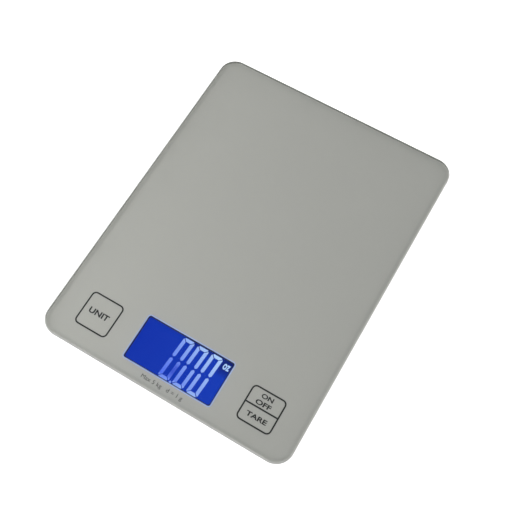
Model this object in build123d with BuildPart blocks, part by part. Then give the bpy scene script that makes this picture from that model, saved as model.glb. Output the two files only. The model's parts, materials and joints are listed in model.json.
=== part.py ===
from build123d import *
import os

# Slim kitchen scale: a glass platform taped to a carrier plate, a shallow bottom cover with the
# battery bay, and four feet that each press on a strain gauge load cell.
# Millimetres. X is the width (right), Y the depth (back) and Z up. The origin is the middle of
# the footprint, on the surface that the feet stand on. The display is at the front, at -Y.

os.makedirs("parts", exist_ok=True)

# ---- driving dimensions ----
GLASS_W = 176.0
GLASS_L = 230.0
GLASS_R = 11.5
GLASS_T = 4.0
GLASS_ARRIS = 0.9          # polished edge round the top face
GLASS_ARRIS_LOW = 0.5      # and round the lower face
PRINT_INSET = 1.2          # clear border between the print and the edge of the glass
PRINT_T = 0.2
TAPE_T = 0.8
CARRIER_T = 1.4
FOOT_DROP = 2.2            # the feet stand out below the cover by this much
FLOOR_T = 1.8
WALL = 1.8
DRAFT = 9.3                # degrees, slope of the cover's walls
EDGE_INSET = 4.2           # from the edge of the glass to the rim of the cover

WINDOW_W = 61.7            # display window in the print
WINDOW_L = 30.3
WINDOW_R = 1.5
WINDOW_Y = -89.6

KEY_X = 58.7               # touch keys, left and right of the display
KEY_Y = -90.3
KEY_SPLIT = 5.9            # the right key holds two electrodes, this far either side

BATTERY_D = 10.5           # AAA cell
BATTERY_L = 44.5
BATTERY_PITCH = 11.6
BAY_Y = -36.0
BAY_W = 51.0
BAY_L = 24.0

FOOT_X = 67.5
FOOT_Y = 94.5
FOOT_D = 19.6
CELL_SIZE = 24.0
CELL_T = 1.2

BOARD_T = 1.2
BOARD_W = 140.0
BOARD_L = 36.0

# ---- heights worked out from them ----
COVER_BOTTOM = FOOT_DROP
FLOOR_TOP = COVER_BOTTOM + FLOOR_T
BATTERY_Z = FLOOR_TOP + 0.2 + BATTERY_D / 2
CARRIER_BOTTOM = BATTERY_Z + BATTERY_D / 2 + 0.2
CARRIER_TOP = CARRIER_BOTTOM + CARRIER_T
PRINT_BOTTOM = CARRIER_TOP + TAPE_T
GLASS_BOTTOM = PRINT_BOTTOM + PRINT_T
CELL_BOTTOM = FLOOR_TOP + 1.4
CELL_TOP = CELL_BOTTOM + CELL_T
BOARD_BOTTOM = CARRIER_BOTTOM - 5.1
BOARD_TOP = BOARD_BOTTOM + BOARD_T

PRINT_W = GLASS_W - 2 * PRINT_INSET
PRINT_L = GLASS_L - 2 * PRINT_INSET
CARRIER_W = GLASS_W - 2 * (EDGE_INSET + 0.3)
CARRIER_L = GLASS_L - 2 * (EDGE_INSET + 0.3)
COVER_W = GLASS_W - 2 * EDGE_INSET
COVER_L = GLASS_L - 2 * EDGE_INSET
COVER_R = 8.0
COVER_H = CARRIER_BOTTOM - COVER_BOTTOM

CORNERS = {
    "front_left": (-1, -1),
    "front_right": (1, -1),
    "back_left": (-1, 1),
    "back_right": (1, 1),
}
TOUCH_POINTS = {
    "unit": (-KEY_X, KEY_Y),
    "power": (KEY_X, KEY_Y + KEY_SPLIT),
    "tare": (KEY_X, KEY_Y - KEY_SPLIT),
}
COVER_SCREWS = [
    (side * x, y)
    for x, y in ((40.0, -65.5), (75.5, 10.0), (32.0, 98.0))
    for side in (-1, 1)
]
BOARD_SCREWS = [(x, y) for x in (-45.0, 45.0) for y in (-103.0, -74.0)]
BOARD_Y = -88.5
EAR_X = 15.8               # retainer ears, inboard of a cell's middle
EAR_Y = 8.0
EAR_POINTS = [
    (side_x * (FOOT_X - EAR_X), side_y * FOOT_Y + step)
    for side_x, side_y in CORNERS.values()
    for step in (-EAR_Y, EAR_Y)
]


def write_part(part, label):
    """Label a finished sub-part and write its STEP file."""
    part.label = label
    export_step(part, f"parts/{label}.step")


# ---- glass, print and tape ----
with BuildPart() as glass_platform:
    with BuildSketch(Plane.XY.offset(GLASS_BOTTOM)):
        RectangleRounded(GLASS_W, GLASS_L, GLASS_R)
    extrude(amount=GLASS_T)
    chamfer(glass_platform.edges().group_by(Axis.Z)[-1], GLASS_ARRIS)
    chamfer(glass_platform.edges().group_by(Axis.Z)[0], GLASS_ARRIS_LOW)
write_part(glass_platform.part, "glass_platform")

with BuildPart() as back_print:
    with BuildSketch(Plane.XY.offset(PRINT_BOTTOM)):
        RectangleRounded(PRINT_W, PRINT_L, GLASS_R - PRINT_INSET)
        with Locations((0, WINDOW_Y)):
            RectangleRounded(WINDOW_W, WINDOW_L, WINDOW_R, mode=Mode.SUBTRACT)
    extrude(amount=PRINT_T)
write_part(back_print.part, "back_print")

TAPE_RING = 2.0
TAPE_W = CARRIER_W - 0.4
TAPE_L = CARRIER_L - 0.4
TAPE_R = COVER_R - 0.5
STRIP_W = 12.0
STRIP_L = 130.0
STRIP_PITCH = 50.0
STRIP_MIDDLE = 25.0
with BuildPart() as glass_tape:
    with BuildSketch(Plane.XY.offset(CARRIER_TOP)):
        RectangleRounded(TAPE_W, TAPE_L, TAPE_R)
        RectangleRounded(
            TAPE_W - 2 * TAPE_RING, TAPE_L - 2 * TAPE_RING, TAPE_R - TAPE_RING, mode=Mode.SUBTRACT
        )
        with Locations((0, STRIP_MIDDLE)):
            with GridLocations(STRIP_PITCH, 0, 3, 1):
                Rectangle(STRIP_W, STRIP_L)
    extrude(amount=TAPE_T)
write_part(glass_tape.part, "glass_tape")

# ---- display stack, from the board up to the window ----
LCD_T = 2.4
LCD_TOP = PRINT_BOTTOM - 0.1
LCD_BOTTOM = LCD_TOP - LCD_T
LCD_W = WINDOW_W + 4.7
LCD_FRONT = -107.0
LCD_BACK = -71.0
LCD_L = LCD_BACK - LCD_FRONT
LCD_Y = (LCD_FRONT + LCD_BACK) / 2
FRAME_WALL = 0.9
FRAME_W = LCD_W + 2 * FRAME_WALL
FRAME_L = LCD_L + 2 * FRAME_WALL
FRAME_FLOOR = 0.6
GUIDE_W = WINDOW_W + 0.6
GUIDE_L = WINDOW_L + 0.6
REFLECTOR_T = 0.2
LED_X = GUIDE_W / 2 + 1.4
LED_PITCH = 8.0
LED_H = 2.4
STRIP_Y = LCD_BACK - 1.6   # rubber contact strip along the back of the display
CONTACT_W = 2.2
CONTACT_L = 58.0

with BuildPart() as lcd_panel:
    with BuildSketch(Plane.XY.offset(LCD_BOTTOM)):
        with Locations((0, LCD_Y)):
            Rectangle(LCD_W, LCD_L)
    extrude(amount=LCD_T)
    chamfer(lcd_panel.edges().filter_by(Axis.Z), 0.6)
write_part(lcd_panel.part, "lcd_panel")

with BuildPart() as lcd_frame:
    with BuildSketch(Plane.XY.offset(BOARD_TOP)):
        with Locations((0, LCD_Y)):
            RectangleRounded(FRAME_W, FRAME_L, 1.0)
    extrude(amount=LCD_TOP - 0.1 - BOARD_TOP)
    with BuildSketch(Plane.XY.offset(LCD_BOTTOM)):
        with Locations((0, LCD_Y)):
            Rectangle(LCD_W + 0.3, LCD_L + 0.3)
    extrude(amount=LCD_T, mode=Mode.SUBTRACT)
    with BuildSketch(Plane.XY.offset(BOARD_TOP + FRAME_FLOOR)):
        with Locations((0, WINDOW_Y)):
            Rectangle(GUIDE_W + 0.4, GUIDE_L + 0.4)
        with Locations((LED_X, WINDOW_Y)):
            Rectangle(3.0, 24.0)
    extrude(amount=LCD_BOTTOM - BOARD_TOP - FRAME_FLOOR, mode=Mode.SUBTRACT)
    with BuildSketch(Plane.XY.offset(BOARD_TOP)):
        with Locations((0, STRIP_Y)):
            Rectangle(CONTACT_L + 0.4, CONTACT_W + 0.2)
    extrude(amount=LCD_BOTTOM - BOARD_TOP, mode=Mode.SUBTRACT)
write_part(lcd_frame.part, "lcd_frame")

with BuildPart() as backlight_reflector:
    with BuildSketch(Plane.XY.offset(BOARD_TOP + FRAME_FLOOR)):
        with Locations((0, WINDOW_Y)):
            Rectangle(GUIDE_W, GUIDE_L)
    extrude(amount=REFLECTOR_T)
write_part(backlight_reflector.part, "backlight_reflector")

with BuildPart() as backlight_guide:
    with BuildSketch(Plane.XY.offset(BOARD_TOP + FRAME_FLOOR + REFLECTOR_T)):
        with Locations((0, WINDOW_Y)):
            Rectangle(GUIDE_W, GUIDE_L)
    extrude(amount=LCD_BOTTOM - BOARD_TOP - FRAME_FLOOR - REFLECTOR_T)
write_part(backlight_guide.part, "backlight_guide")

with BuildPart() as backlight_leds:
    with BuildSketch(Plane.XY.offset(BOARD_TOP + FRAME_FLOOR)):
        with Locations((LED_X, WINDOW_Y)):
            with GridLocations(0, LED_PITCH, 1, 3):
                Rectangle(2.2, 4.2)
    extrude(amount=LED_H)
    chamfer(backlight_leds.edges().group_by(Axis.Z)[-1], 0.3)
write_part(backlight_leds.part, "backlight_leds")

with BuildPart() as lcd_connector:
    with BuildSketch(Plane.XY.offset(BOARD_TOP)):
        with Locations((0, STRIP_Y)):
            Rectangle(CONTACT_L, CONTACT_W)
    extrude(amount=LCD_BOTTOM - BOARD_TOP)
write_part(lcd_connector.part, "lcd_connector")

# ---- carrier plate under the glass ----
TOUCH_HOLE_R = 5.4
LIP_T = 1.2
LIP_H = 2.5
LIP_W = COVER_W - 2 * WALL - 1.4
LIP_L = COVER_L - 2 * WALL - 1.4
LIP_R = COVER_R - WALL - 0.7
BOSS_R = 2.5
RIB_T = 1.2
CARRIER_RIB_H = 1.6
CARRIER_RIB_X = 62.0       # two ribs front to back, and two across between them
CARRIER_RIB_L = 130.0
CARRIER_RIB_MIDDLE = 20.0
POST_TOP = CARRIER_BOTTOM - 2.9     # cover posts and carrier bosses meet here
SCREW_D = 2.6
SCREW_TIP = CARRIER_TOP - 0.8
BOARD_SCREW_D = 2.0
BOARD_SCREW_L = 4.6
BOARD_HEAD_H = 1.3

with BuildPart() as carrier_frame:
    with BuildSketch(Plane.XY.offset(CARRIER_BOTTOM)):
        RectangleRounded(CARRIER_W, CARRIER_L, COVER_R - 0.3)
    extrude(amount=CARRIER_T)
    with BuildSketch(Plane.XY.offset(CARRIER_BOTTOM)):
        RectangleRounded(LIP_W, LIP_L, LIP_R)
        RectangleRounded(LIP_W - 2 * LIP_T, LIP_L - 2 * LIP_T, LIP_R - LIP_T, mode=Mode.SUBTRACT)
        with Locations((0, -LIP_L / 2)):
            Rectangle(FRAME_W + 6, 6, mode=Mode.SUBTRACT)
    extrude(amount=-LIP_H)
    with BuildSketch(Plane.XY.offset(CARRIER_BOTTOM)):
        with Locations(*COVER_SCREWS):
            Circle(3.2)
    extrude(amount=POST_TOP - CARRIER_BOTTOM)
    with BuildSketch(Plane.XY.offset(CARRIER_BOTTOM)):
        with Locations(*BOARD_SCREWS):
            Circle(BOSS_R)
    extrude(amount=BOARD_TOP - CARRIER_BOTTOM)
    with BuildSketch(Plane.XY.offset(CARRIER_BOTTOM)):
        with Locations((0, CARRIER_RIB_MIDDLE)):
            with GridLocations(2 * CARRIER_RIB_X, 0, 2, 1):
                Rectangle(RIB_T, CARRIER_RIB_L)
        with Locations((0, 15), (0, 80)):
            Rectangle(2 * CARRIER_RIB_X - RIB_T / 2, RIB_T)
    extrude(amount=-CARRIER_RIB_H)
    with BuildSketch(Plane.XY.offset(CARRIER_BOTTOM)):
        with Locations((0, LCD_Y)):
            RectangleRounded(FRAME_W + 0.6, FRAME_L + 0.6, 1.2)
        with Locations(*TOUCH_POINTS.values()):
            Circle(TOUCH_HOLE_R)
    extrude(amount=CARRIER_T, mode=Mode.SUBTRACT)
    with BuildSketch(Plane.XY.offset(POST_TOP)):
        with Locations(*COVER_SCREWS):
            Circle(SCREW_D / 2 + 0.03)
    extrude(amount=SCREW_TIP + 0.2 - POST_TOP, mode=Mode.SUBTRACT)
    with BuildSketch(Plane.XY.offset(BOARD_TOP)):
        with Locations(*BOARD_SCREWS):
            Circle(BOARD_SCREW_D / 2 + 0.03)
    extrude(amount=BOARD_SCREW_L + 0.4 - BOARD_T, mode=Mode.SUBTRACT)
write_part(carrier_frame.part, "carrier_frame")

# ---- bottom cover ----
PAD_Y = BAY_Y - 1.0        # raised pad round the battery bay
PAD_W = 62.0
PAD_L = 36.0
PAD_TOP = FLOOR_TOP + 1.4
BAY_WALL = 1.5
DOOR_T = 1.5
DOOR_W = BAY_W + 4.0
DOOR_FRONT = BAY_Y - BAY_L / 2 - 2.0
DOOR_GAP = 0.3
HINGE_Y = BAY_Y + BAY_L / 2 + 1.5
ROLL_R = 1.0               # round edge of the door, about the hinge axis
HINGE_Z = COVER_BOTTOM + ROLL_R
PIN_R = 0.6
PIN_L = 1.6
LATCH_W = 10.0
LATCH_FRONT = DOOR_FRONT - 2.8
SCOOP_R = 12.0             # finger scoop in front of the latch
SCOOP_DEPTH = 0.8
HEAD_D = 4.8
HEAD_H = 1.9
HEAD_TOP = COVER_BOTTOM + 7.3
CROSS_L = 2.6              # screwdriver slot
CROSS_W = 0.7
EAR_SCREW_R = 0.95
EAR_SCREW_DEPTH = 3.2
FLOOR_RIB_H = 1.2
FLOOR_RIB_X = 44.0
POCKET = CELL_SIZE + 0.4
POCKET_WALL = 1.4
POCKET_R = 4.0             # keeps the pocket walls inside the cover's rounded corners
BATTERY_END = BAY_W / 2
LEAD_Z = FLOOR_TOP + 2.2
TERMINAL_Y = (BAY_Y - BATTERY_PITCH / 2, BAY_Y + BATTERY_PITCH / 2)

with BuildPart() as bottom_cover:
    with BuildSketch(Plane.XY.offset(CARRIER_BOTTOM)):
        RectangleRounded(COVER_W, COVER_L, COVER_R)
    extrude(amount=-COVER_H, taper=DRAFT)
    fillet(bottom_cover.edges().group_by(Axis.Z)[0], 2.5)
    with BuildSketch(Plane.XY.offset(CARRIER_BOTTOM)):
        RectangleRounded(COVER_W - 2 * WALL, COVER_L - 2 * WALL, COVER_R - WALL)
    extrude(amount=FLOOR_TOP - CARRIER_BOTTOM, taper=DRAFT, mode=Mode.SUBTRACT)
    # pad and walls of the battery bay
    with BuildSketch(Plane.XY.offset(FLOOR_TOP)):
        with Locations((0, PAD_Y)):
            RectangleRounded(PAD_W, PAD_L, 2.0)
    extrude(amount=PAD_TOP - FLOOR_TOP)
    with BuildSketch(Plane.XY.offset(FLOOR_TOP)):
        with Locations((0, BAY_Y)):
            Rectangle(BAY_W + 2 * BAY_WALL, BAY_L + 2 * BAY_WALL)
    extrude(amount=CARRIER_BOTTOM - FLOOR_TOP)
    # screw posts, retainer bosses, cell pockets and floor ribs
    with BuildSketch(Plane.XY.offset(FLOOR_TOP)):
        with Locations(*COVER_SCREWS):
            Circle(3.5)
    extrude(amount=POST_TOP - FLOOR_TOP)
    with BuildSketch(Plane.XY.offset(FLOOR_TOP)):
        with Locations(*EAR_POINTS):
            Circle(BOSS_R)
    extrude(amount=CELL_TOP - FLOOR_TOP)
    with BuildSketch(Plane.XY.offset(FLOOR_TOP)):
        for side_x, side_y in CORNERS.values():
            with Locations((side_x * FOOT_X, side_y * FOOT_Y)):
                RectangleRounded(POCKET + 2 * POCKET_WALL, POCKET + 2 * POCKET_WALL, POCKET_R)
                Rectangle(POCKET, POCKET, mode=Mode.SUBTRACT)
            with Locations((side_x * FOOT_X, side_y * (FOOT_Y - CELL_SIZE / 2))):
                Rectangle(11, 5, mode=Mode.SUBTRACT)
    extrude(amount=CELL_TOP - 0.2 - FLOOR_TOP)
    with BuildSketch(Plane.XY.offset(FLOOR_TOP)):
        for side_x, side_y in CORNERS.values():
            with Locations((side_x * FOOT_X, side_y * FOOT_Y)):
                Rectangle(POCKET + 0.2, POCKET + 0.2)
                Rectangle(CELL_SIZE - 5, CELL_SIZE - 5, mode=Mode.SUBTRACT)
    extrude(amount=CELL_BOTTOM - FLOOR_TOP)
    with BuildSketch(Plane.XY.offset(FLOOR_TOP)):
        with Locations((0, 25), (0, 72)):
            Rectangle(130, RIB_T)
        with Locations((0, 40)):
            with GridLocations(2 * FLOOR_RIB_X, 0, 2, 1):
                Rectangle(RIB_T, 100)
    extrude(amount=FLOOR_RIB_H)
    # cut the bay, the door recess and the hinge seat
    with BuildSketch(Plane.XY.offset(COVER_BOTTOM)):
        with Locations((0, BAY_Y)):
            Rectangle(BAY_W, BAY_L)
    extrude(amount=COVER_H, mode=Mode.SUBTRACT)
    with BuildSketch(Plane.XY.offset(COVER_BOTTOM)):
        with Locations((0, (DOOR_FRONT + HINGE_Y + ROLL_R) / 2)):
            Rectangle(DOOR_W + 2 * DOOR_GAP, HINGE_Y + ROLL_R - DOOR_FRONT + 2 * DOOR_GAP)
    extrude(amount=DOOR_T + 0.2, mode=Mode.SUBTRACT)
    with BuildSketch(Plane.YZ):
        with Locations((HINGE_Y, HINGE_Z)):
            Circle(ROLL_R + DOOR_GAP)
    extrude(amount=DOOR_W / 2 + DOOR_GAP, both=True, mode=Mode.SUBTRACT)
    with BuildSketch(Plane.YZ):
        with Locations((HINGE_Y, HINGE_Z)):
            Circle(PIN_R + 0.06)
    extrude(amount=DOOR_W / 2 + PIN_L + 0.3, both=True, mode=Mode.SUBTRACT)
    # pocket of the snap latch, and the finger scoop in front of it
    with BuildSketch(Plane.XY.offset(COVER_BOTTOM)):
        with Locations((0, (DOOR_FRONT + LATCH_FRONT - DOOR_GAP) / 2)):
            Rectangle(LATCH_W + 1.2, DOOR_FRONT - LATCH_FRONT + DOOR_GAP)
    extrude(amount=PAD_TOP - COVER_BOTTOM, mode=Mode.SUBTRACT)
    with BuildSketch(Plane.XY.offset(FLOOR_TOP)):
        with Locations((0, LATCH_FRONT)):
            Rectangle(LATCH_W + 1.2, 4.6)
    extrude(amount=PAD_TOP - FLOOR_TOP, mode=Mode.SUBTRACT)
    with BuildSketch(Plane.YZ):
        with Locations((LATCH_FRONT - 3.6, COVER_BOTTOM + SCOOP_DEPTH - SCOOP_R)):
            Circle(SCOOP_R)
    extrude(amount=LATCH_W / 2 + 2.0, both=True, mode=Mode.SUBTRACT)
    # solder lugs of the battery terminals pass through the left end wall
    with BuildSketch(Plane.XY.offset(LEAD_Z - 0.5)):
        with Locations(*[(-BATTERY_END - BAY_WALL / 2, y) for y in TERMINAL_Y]):
            Rectangle(BAY_WALL + 0.2, 2.4)
    extrude(amount=1.0, mode=Mode.SUBTRACT)
    # openings for the feet
    with BuildSketch(Plane.XY.offset(COVER_BOTTOM)):
        for side_x, side_y in CORNERS.values():
            with Locations((side_x * FOOT_X, side_y * FOOT_Y)):
                Circle(FOOT_D / 2 + 0.7)
    extrude(amount=FLOOR_T, mode=Mode.SUBTRACT)
    # screw holes: counterbores from below, pilots for the retainer screws from above
    with BuildSketch(Plane.XY.offset(COVER_BOTTOM)):
        with Locations(*COVER_SCREWS):
            Circle(HEAD_D / 2 + 0.2)
    extrude(amount=HEAD_TOP - COVER_BOTTOM, mode=Mode.SUBTRACT)
    with BuildSketch(Plane.XY.offset(HEAD_TOP)):
        with Locations(*COVER_SCREWS):
            Circle(SCREW_D / 2 + 0.15)
    extrude(amount=POST_TOP - HEAD_TOP, mode=Mode.SUBTRACT)
    with BuildSketch(Plane.XY.offset(CELL_TOP)):
        with Locations(*EAR_POINTS):
            Circle(EAR_SCREW_R + 0.03)
    extrude(amount=-EAR_SCREW_DEPTH - 0.4, mode=Mode.SUBTRACT)
write_part(bottom_cover.part, "bottom_cover")

with BuildPart() as cover_screws:
    with BuildSketch(Plane.XY.offset(HEAD_TOP)):
        with Locations(*COVER_SCREWS):
            Circle(HEAD_D / 2)
    extrude(amount=-HEAD_H)
    fillet(cover_screws.edges().group_by(Axis.Z)[0], 0.7)
    with BuildSketch(Plane.XY.offset(HEAD_TOP)):
        with Locations(*COVER_SCREWS):
            Circle(SCREW_D / 2)
    extrude(amount=SCREW_TIP - HEAD_TOP)
    chamfer(cover_screws.edges().group_by(Axis.Z)[-1], 0.6)
    with BuildSketch(Plane.XY.offset(HEAD_TOP - HEAD_H)):
        with Locations(*COVER_SCREWS):
            Rectangle(CROSS_L, CROSS_W)
            Rectangle(CROSS_W, CROSS_L)
    extrude(amount=HEAD_H - 0.8, mode=Mode.SUBTRACT)
write_part(cover_screws.part, "cover_screws")

# ---- load cells, feet and what holds them ----
TONGUE_W = 11.0
SLOT = 1.5
WINDOW_CELL = 17.0
STEM_R = 3.0
PAD_T = 1.5
DISC_TOP = PAD_T + 2.0
RETAINER_T = 1.6
SNAP_R = 1.4
SNAP_LIP = 0.5

for corner, (side_x, side_y) in CORNERS.items():
    middle = (side_x * FOOT_X, side_y * FOOT_Y)

    with BuildPart() as load_cell:
        with BuildSketch(Plane(origin=(*middle, CELL_BOTTOM))):
            RectangleRounded(CELL_SIZE, CELL_SIZE, 2.0)
            Rectangle(WINDOW_CELL, WINDOW_CELL, mode=Mode.SUBTRACT)
            with Locations((0, side_y * SLOT)):
                Rectangle(TONGUE_W, WINDOW_CELL)
            Circle(SNAP_R + 0.3, mode=Mode.SUBTRACT)
        extrude(amount=CELL_T)
    write_part(load_cell.part, f"load_cell_{corner}")

    with BuildPart() as foot_stem:
        with BuildSketch(Plane.XZ.offset(-middle[1])):
            with BuildLine():
                Polyline(
                    (middle[0], PAD_T),
                    (middle[0] + FOOT_D / 2, PAD_T),
                    (middle[0] + FOOT_D / 2, DISC_TOP),
                    (middle[0] + STEM_R, DISC_TOP),
                    (middle[0] + STEM_R, CELL_BOTTOM),
                    (middle[0] + SNAP_R, CELL_BOTTOM),
                    (middle[0] + SNAP_R, CELL_TOP + SNAP_LIP),
                    (middle[0] + SNAP_R + SNAP_LIP, CELL_TOP + SNAP_LIP),
                    (middle[0] + SNAP_R, CELL_TOP + SNAP_R),
                    (middle[0], CELL_TOP + SNAP_R),
                    close=True,
                )
            make_face()
        revolve(axis=Axis((middle[0], middle[1], 0), (0, 0, 1)))
    write_part(foot_stem.part, f"foot_stem_{corner}")

    with BuildPart() as foot_pad:
        with BuildSketch(Plane(origin=(*middle, 0))):
            Circle(FOOT_D / 2 - 0.3)
        extrude(amount=PAD_T)
        fillet(foot_pad.edges().group_by(Axis.Z)[0], 0.7)
        with BuildSketch(Plane(origin=(*middle, 0))):
            Circle(6.4)
            Circle(5.4, mode=Mode.SUBTRACT)
        extrude(amount=0.5, mode=Mode.SUBTRACT)
    write_part(foot_pad.part, f"foot_pad_{corner}")

with BuildPart() as strain_gauges:
    with BuildSketch(Plane.XY.offset(CELL_TOP)):
        for side_x, side_y in CORNERS.values():
            with Locations((side_x * FOOT_X, side_y * (FOOT_Y + 5.2))):
                with GridLocations(5.2, 0, 2, 1):
                    Rectangle(3.2, 4.6)
    extrude(amount=0.15)
write_part(strain_gauges.part, "strain_gauges")

EAR_HEAD_R = 1.8
EAR_HEAD_H = 1.2
SEAL_Y = CELL_SIZE / 2 - 1.8
SEAL_L = 3.2
with BuildPart() as gauge_sealant:
    with BuildSketch(Plane.XY.offset(CELL_TOP)):
        for side_x, side_y in CORNERS.values():
            with Locations((side_x * FOOT_X, side_y * (FOOT_Y - SEAL_Y))):
                RectangleRounded(9.0, SEAL_L, 1.0)
    extrude(amount=1.3)
    fillet(gauge_sealant.edges().group_by(Axis.Z)[-1], 0.25)
write_part(gauge_sealant.part, "gauge_sealant")

with BuildPart() as cell_retainers:
    with BuildSketch(Plane.XY.offset(CELL_TOP)):
        for side_x, side_y in CORNERS.values():
            with Locations((side_x * FOOT_X, side_y * FOOT_Y)):
                RectangleRounded(CELL_SIZE, CELL_SIZE, 2.0)
            with Locations((side_x * (FOOT_X - EAR_X + 1.6), side_y * FOOT_Y)):
                with GridLocations(0, 2 * EAR_Y, 1, 2):
                    SlotOverall(8.2, 2 * BOSS_R)
            with Locations((side_x * FOOT_X, side_y * FOOT_Y)):
                Rectangle(CELL_SIZE - 6, CELL_SIZE - 6, mode=Mode.SUBTRACT)
            with Locations((side_x * FOOT_X, side_y * (FOOT_Y - CELL_SIZE / 2))):
                Rectangle(10.4, 8.0, mode=Mode.SUBTRACT)
        with Locations(*EAR_POINTS):
            Circle(EAR_SCREW_R + 0.15, mode=Mode.SUBTRACT)
    extrude(amount=RETAINER_T)
write_part(cell_retainers.part, "cell_retainers")

with BuildPart() as retainer_screws:
    with BuildSketch(Plane.XY.offset(CELL_TOP + RETAINER_T)):
        with Locations(*EAR_POINTS):
            Circle(EAR_HEAD_R)
    extrude(amount=EAR_HEAD_H)
    fillet(retainer_screws.edges().group_by(Axis.Z)[-1], 0.4)
    with BuildSketch(Plane.XY.offset(CELL_TOP + RETAINER_T)):
        with Locations(*EAR_POINTS):
            Circle(EAR_SCREW_R)
    extrude(amount=-EAR_SCREW_DEPTH - RETAINER_T)
    with BuildSketch(Plane.XY.offset(CELL_TOP + RETAINER_T + EAR_HEAD_H)):
        with Locations(*EAR_POINTS):
            Rectangle(2.0, 0.5)
            Rectangle(0.5, 2.0)
    extrude(amount=-EAR_HEAD_H / 2, mode=Mode.SUBTRACT)
write_part(retainer_screws.part, "retainer_screws")

# ---- circuit board and what is on it ----
PAD_ROW_Y = -76.5          # solder pads of the cell wires
LEAD_PADS = ((-48.5, PAD_ROW_Y), (-51.0, PAD_ROW_Y))
WIRE_STEP = 1.9
WIRE_COLOURS = ("red", "white", "black")


def wire_x(side_x, row, colour_index):
    """X of one wire of a cell: row 0 is the front pair of cells, row 1 the back pair."""
    middle = (59.0, FOOT_X)[row]
    return side_x * (middle + (colour_index - 1) * WIRE_STEP)


CELL_PADS = [
    (wire_x(side_x, row, index), PAD_ROW_Y)
    for side_x in (-1, 1)
    for row in (0, 1)
    for index in range(len(WIRE_COLOURS))
]

with BuildPart() as main_board:
    with BuildSketch(Plane.XY.offset(BOARD_BOTTOM)):
        with Locations((0, BOARD_Y)):
            RectangleRounded(BOARD_W, BOARD_L, 2.0)
        with Locations(*BOARD_SCREWS):
            Circle(1.2, mode=Mode.SUBTRACT)
    extrude(amount=BOARD_T)
write_part(main_board.part, "main_board")

with BuildPart() as board_screws:
    with BuildSketch(Plane.XY.offset(BOARD_BOTTOM)):
        with Locations(*BOARD_SCREWS):
            Circle(BOARD_SCREW_D)
    extrude(amount=-BOARD_HEAD_H)
    fillet(board_screws.edges().group_by(Axis.Z)[0], 0.4)
    with BuildSketch(Plane.XY.offset(BOARD_BOTTOM)):
        with Locations(*BOARD_SCREWS):
            Circle(BOARD_SCREW_D / 2)
    extrude(amount=BOARD_SCREW_L)
write_part(board_screws.part, "board_screws")

CHIP_X = -8.0
CHIP_Y = -90.0
with BuildPart() as controller_chip:
    with BuildSketch(Plane.XY.offset(BOARD_BOTTOM - 0.2)):
        with Locations((CHIP_X, CHIP_Y)):
            Rectangle(10.0, 10.0)
    extrude(amount=-1.4)
    chamfer(controller_chip.edges().group_by(Axis.Z)[0], 0.25)
    with BuildSketch(Plane.XY.offset(BOARD_BOTTOM)):
        with Locations((CHIP_X, CHIP_Y)):
            with GridLocations(0.8, 11.4, 11, 2):
                Rectangle(0.35, 1.6)
            with GridLocations(11.4, 0.8, 2, 11):
                Rectangle(1.6, 0.35)
    extrude(amount=-0.35)
write_part(controller_chip.part, "controller_chip")

with BuildPart() as board_components:
    with BuildSketch(Plane.XY.offset(BOARD_BOTTOM)):
        with Locations((10, -84)):
            with GridLocations(3.4, 4.6, 5, 3):
                Rectangle(2.0, 1.2)
        with Locations((-27, -96)):
            with GridLocations(4.0, 3.2, 3, 3):
                Rectangle(1.6, 0.9)
    extrude(amount=-0.6)
    with BuildSketch(Plane.XY.offset(BOARD_BOTTOM)):
        with Locations((27, -96), (27, -88)):
            Circle(2.5)
    extrude(amount=-2.8)
    with BuildSketch(Plane.XY.offset(BOARD_BOTTOM)):
        with Locations((6, -99)):
            SlotOverall(8.0, 3.2)
    extrude(amount=-1.8)
write_part(board_components.part, "board_components")

with BuildPart() as solder_joints:
    with BuildSketch(Plane.XY.offset(BOARD_TOP)):
        with Locations(*CELL_PADS, *LEAD_PADS):
            Circle(0.8)
    extrude(amount=0.7, taper=30)
write_part(solder_joints.part, "solder_joints")

# ---- touch key springs between the board and the print ----
COIL_R = 4.2
COIL_WIRE_R = 0.3
COIL_TURNS = 4
COIL_BASE = BOARD_TOP + COIL_WIRE_R + 0.02
COIL_H = PRINT_BOTTOM - BOARD_TOP - 2 * (COIL_WIRE_R + 0.02)

for key, (key_x, key_y) in TOUCH_POINTS.items():
    with BuildPart() as touch_spring:
        with BuildLine() as coil:
            Helix(pitch=COIL_H / COIL_TURNS, height=COIL_H, radius=COIL_R, center=(key_x, key_y, COIL_BASE))
        with BuildSketch(Plane(origin=coil.line @ 0, z_dir=coil.line % 0)):
            Circle(COIL_WIRE_R)
        sweep()
    write_part(touch_spring.part, f"touch_spring_{key}")

# ---- batteries, contacts and leads ----
CAP_H = 1.0
CAP_R = 1.9
LUG_X = -BATTERY_END - BAY_WALL - 1.0   # outer end of the terminals' solder lugs
DIMPLE_R = 2.0
PLATE_T = 0.4
PLATE_H = 8.6
PLATE_W = 9.0
CAP_GAP = 1.3              # from the contact plate to the tip of a cell, on its dimple
NEG_SPACE = BAY_W - 2 * PLATE_T - BATTERY_L - CAP_GAP

for name, cell_y, facing in (("battery_front", TERMINAL_Y[0], -1), ("battery_rear", TERMINAL_Y[1], 1)):
    tip = facing * (BATTERY_END - PLATE_T - CAP_GAP)
    with BuildPart() as battery:
        with BuildSketch(Plane(origin=(tip, cell_y, BATTERY_Z), z_dir=(-facing, 0, 0))):
            Circle(CAP_R)
        extrude(amount=CAP_H)
        with BuildSketch(Plane(origin=(tip - facing * CAP_H, cell_y, BATTERY_Z), z_dir=(-facing, 0, 0))):
            Circle(BATTERY_D / 2)
        extrude(amount=BATTERY_L - CAP_H)
        fillet(battery.edges().filter_by(GeomType.CIRCLE).sort_by(SortBy.RADIUS)[-2:], 0.5)
    write_part(battery.part, name)

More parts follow.
